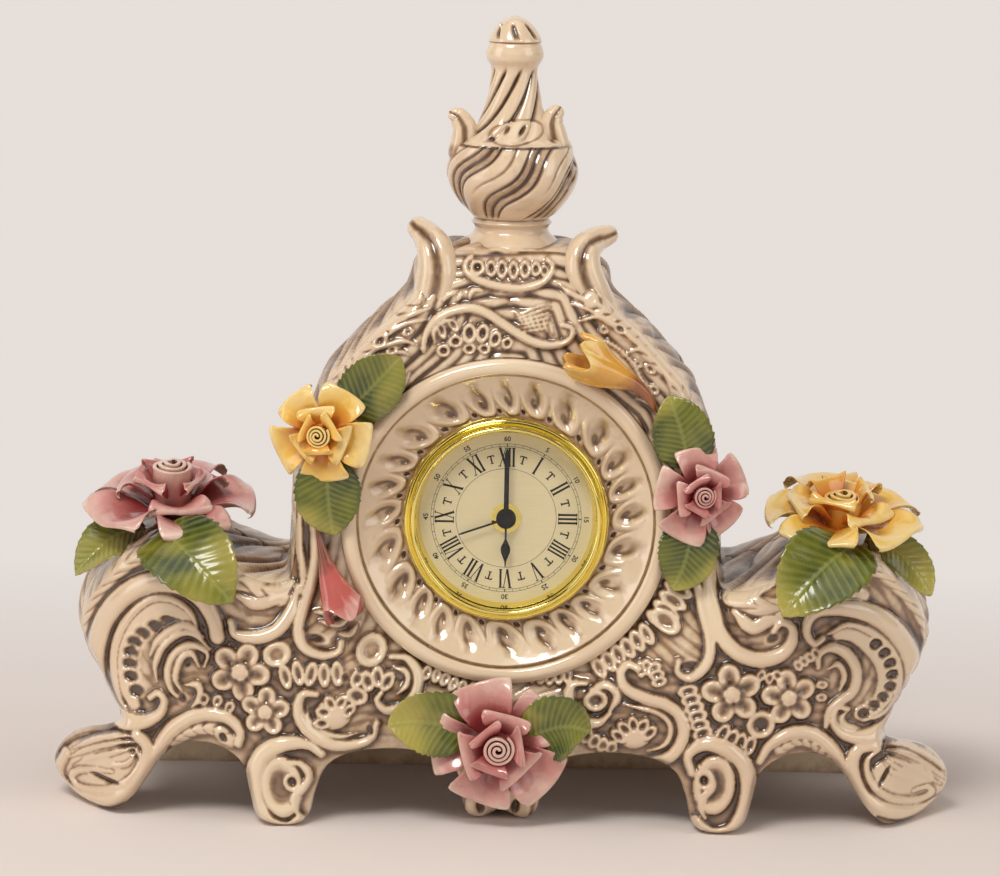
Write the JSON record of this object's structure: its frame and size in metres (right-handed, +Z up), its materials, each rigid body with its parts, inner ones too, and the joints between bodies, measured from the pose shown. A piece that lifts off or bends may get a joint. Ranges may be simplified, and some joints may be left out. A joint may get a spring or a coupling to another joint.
{
  "type": "mantel clock",
  "caption": "Ceramic mantel clock with scrolls, applied roses and finial, and a press-in quartz alarm insert with turning hands.",
  "frame": {"origin": "on the floor under the middle of the clock's box", "axes": "+X to the right of the dial, +Y to the back, +Z up"},
  "size_m": [0.3704, 0.1202, 0.335],
  "materials": {
    "glazed_case": "glossy cream glaze with an umber wash",
    "pink_rose": "glossy pink glaze with cream edges",
    "yellow_rose": "glossy yellow glaze",
    "leaves": "glossy green glaze with pale veins",
    "orange_bud": "glossy orange and brown glaze",
    "red_bud": "glossy red and brown glaze",
    "brass": "polished",
    "lens": "clear",
    "dial": "satin champagne",
    "hands": "satin black",
    "rubber": "matte",
    "black_plastic": "moulded",
    "white_plastic": "moulded",
    "steel": "plain",
    "copper_wire": "enamelled winding",
    "circuit_board": "solder resist",
    "battery": "plain unmarked sleeve"
  },
  "bodies": {
    "case": {"front_tower": "glazed_case", "front_left": "glazed_case", "front_right": "glazed_case", "case_back": "glazed_case", "finial": "glazed_case", "wing_left_heart": "pink_rose", "wing_left_petals": "pink_rose", "wing_left_leaves": "leaves", "wing_right_heart": "yellow_rose", "wing_right_petals": "yellow_rose", "wing_right_leaves": "leaves", "tower_left_heart": "yellow_rose", "tower_left_petals": "yellow_rose", "tower_left_leaves": "leaves", "tower_right_heart": "pink_rose", "tower_right_petals": "pink_rose", "tower_right_leaves": "leaves", "bottom_heart": "pink_rose", "bottom_petals": "pink_rose", "bottom_leaves": "leaves", "orange_bud": "orange_bud", "red_bud": "red_bud"},
    "insert": {"bezel": "brass", "lens": "lens", "dial": "dial", "reflector_ring": "brass", "insert_can": "black_plastic", "grip_ring": "rubber", "centre_nut": "brass", "nut_washer": "brass", "movement_case": "black_plastic", "middle_plate": "black_plastic", "movement_cover": "black_plastic", "cover_screws": "steel", "stator": "steel", "coil": "copper_wire", "circuit_board": "circuit_board", "quartz_crystal": "steel", "buzzer": "brass", "contact_plus": "steel", "contact_minus": "steel"},
    "minute_works": {"minute_arbor": "brass", "minute_hand": "hands", "hand_cap": "steel"},
    "motion_works": {"motion_wheel": "white_plastic"},
    "hour_works": {"hour_wheel": "white_plastic", "hour_hand": "hands"},
    "alarm_works": {"alarm_wheel": "white_plastic", "alarm_hand": "hands"},
    "time_knob": {"time_knob": "black_plastic"},
    "alarm_knob": {"alarm_knob": "black_plastic"},
    "alarm_switch": {"alarm_switch": "white_plastic"},
    "rotor": {"rotor": "steel"},
    "intermediate_wheel": {"intermediate_wheel": "white_plastic"},
    "seconds_wheel": {"seconds_wheel": "white_plastic"},
    "third_wheel": {"third_wheel": "white_plastic"},
    "centre_wheel": {"centre_wheel": "white_plastic"},
    "battery": {"battery": "battery"}
  },
  "joints": [
    {"name": "insert_pull", "type": "slide", "parent": "case", "child": "insert", "axis": [0, -1, 0], "range_m": [0, 0.045]},
    {"name": "minute_turn", "type": "hinge", "parent": "insert", "child": "minute_works", "pos_m": [0, 0, 0.127], "axis": [0, 1, 0], "continuous": true},
    {"name": "motion_turn", "type": "hinge", "parent": "insert", "child": "motion_works", "pos_m": [-0.00727, 0, 0.1312], "axis": [0, 1, 0], "continuous": true},
    {"name": "hour_turn", "type": "hinge", "parent": "insert", "child": "hour_works", "pos_m": [0, 0, 0.127], "axis": [0, 1, 0], "continuous": true},
    {"name": "time_knob_turn", "type": "hinge", "parent": "insert", "child": "time_knob", "pos_m": [-0.01147, 0, 0.13847], "axis": [0, 1, 0], "continuous": true},
    {"name": "alarm_turn", "type": "hinge", "parent": "insert", "child": "alarm_works", "pos_m": [0, 0, 0.127], "axis": [0, 1, 0], "continuous": true},
    {"name": "alarm_knob_turn", "type": "hinge", "parent": "insert", "child": "alarm_knob", "pos_m": [0.00758, 0, 0.13137], "axis": [0, 1, 0], "continuous": true},
    {"name": "rotor_turn", "type": "hinge", "parent": "insert", "child": "rotor", "pos_m": [0.01127, 0, 0.14495], "axis": [0, 1, 0], "continuous": true},
    {"name": "intermediate_turn", "type": "hinge", "parent": "insert", "child": "intermediate_wheel", "pos_m": [0.00676, 0, 0.14331], "axis": [0, 1, 0], "continuous": true},
    {"name": "seconds_turn", "type": "hinge", "parent": "insert", "child": "seconds_wheel", "pos_m": [0.00396, 0, 0.13846], "axis": [0, 1, 0], "continuous": true},
    {"name": "third_turn", "type": "hinge", "parent": "insert", "child": "third_wheel", "pos_m": [-0.00125, 0, 0.13409], "axis": [0, 1, 0], "continuous": true},
    {"name": "centre_turn", "type": "hinge", "parent": "insert", "child": "centre_wheel", "pos_m": [0, 0, 0.127], "axis": [0, 1, 0], "continuous": true},
    {"name": "alarm_switch_slide", "type": "slide", "parent": "insert", "child": "alarm_switch", "axis": [1, 0, 0], "range_m": [-0.0015, 0.0015]},
    {"name": "battery_lift", "type": "slide", "parent": "insert", "child": "battery", "axis": [0, 1, 0], "range_m": [0, 0.017]}
  ],
  "couplings": [
    {"joint": "motion_turn", "follows": "minute_turn", "ratio": -0.33333},
    {"joint": "hour_turn", "follows": "minute_turn", "ratio": 0.083333},
    {"joint": "time_knob_turn", "follows": "minute_turn", "ratio": 1},
    {"joint": "alarm_knob_turn", "follows": "alarm_turn", "ratio": -4},
    {"joint": "intermediate_turn", "follows": "rotor_turn", "ratio": -0.2},
    {"joint": "seconds_turn", "follows": "rotor_turn", "ratio": 0.033333},
    {"joint": "third_turn", "follows": "rotor_turn", "ratio": -0.0044444},
    {"joint": "centre_turn", "follows": "rotor_turn", "ratio": 0.00055556}
  ]
}
